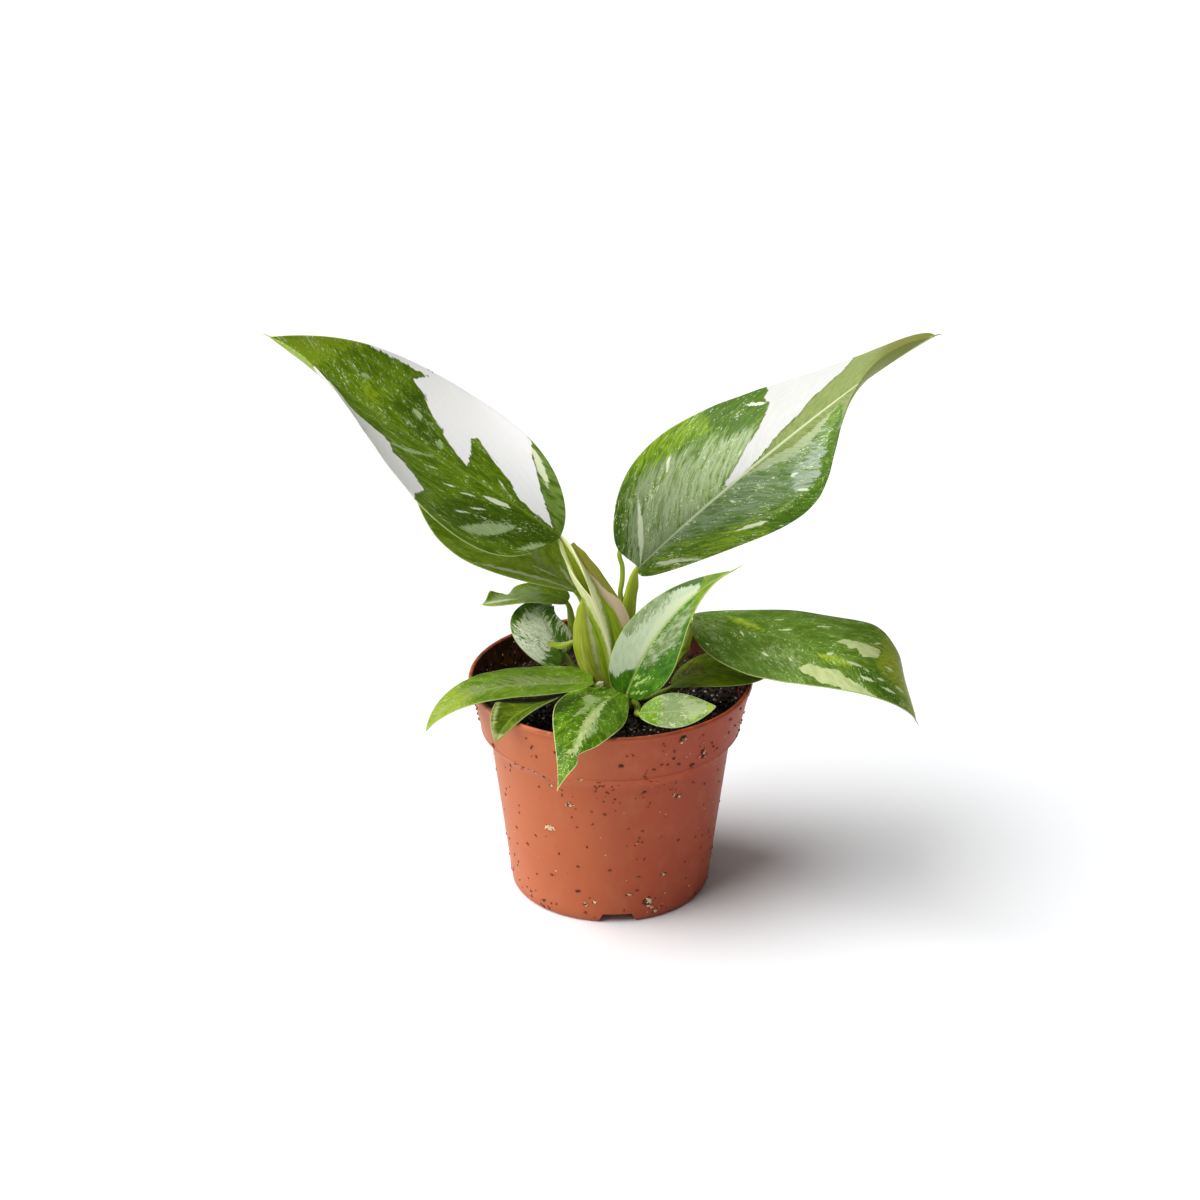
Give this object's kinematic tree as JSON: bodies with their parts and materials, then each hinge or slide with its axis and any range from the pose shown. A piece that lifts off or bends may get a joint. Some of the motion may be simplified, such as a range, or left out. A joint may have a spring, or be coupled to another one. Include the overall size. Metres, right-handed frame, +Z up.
{
  "type": "potted philodendron",
  "caption": "Young philodendron with white, silver and green variegated leaves on sheathed stalks, growing in a round tapered terracotta-coloured plastic nursery pot.",
  "frame": {"origin": "on the pot's axis, on the ground plane that the pot stands on", "axes": "+Z up along the pot's axis, +X to the right of the plant's front view, +Y away from the front"},
  "size_m": [0.2441, 0.1346, 0.2327],
  "materials": {
    "pot": "satin injection-moulded polypropylene, terracotta colour",
    "potting_mix": "crumbly peat and bark with perlite, matte",
    "leaf_green": "waxy satin leaf, green with white sectors and silver flecks",
    "leaf_silver": "waxy satin leaf, mostly silver-white over green",
    "stalk": "smooth satin yellow-green stalk",
    "sheath": "papery cream to pinkish sheath"
  },
  "bodies": {
    "root": {"pot": "pot", "soil": "potting_mix", "crown": "stalk", "leaf_upper_left": "leaf_green", "leaf_upper_right": "leaf_green", "leaf_lower_left": "leaf_green", "leaf_centre": "leaf_silver", "leaf_right": "leaf_green", "leaf_front": "leaf_green", "leaf_left": "leaf_green", "leaf_left_under": "leaf_green", "leaf_front_right": "leaf_silver", "leaf_right_under": "leaf_green", "leaf_back_left": "leaf_green", "leaf_left_back": "leaf_silver", "stalk_upper_left": "stalk", "stalk_upper_right": "stalk", "stalk_lower_left": "stalk", "stalk_centre": "stalk", "stalk_right": "stalk", "stalk_front": "stalk", "stalk_left": "stalk", "stalk_left_under": "stalk", "stalk_front_right": "stalk", "stalk_right_under": "stalk", "stalk_back_left": "stalk", "stalk_left_back": "stalk", "sheath_pink": "sheath", "sheath_thin": "sheath", "sheath_olive": "sheath"}
  },
  "joints": []
}
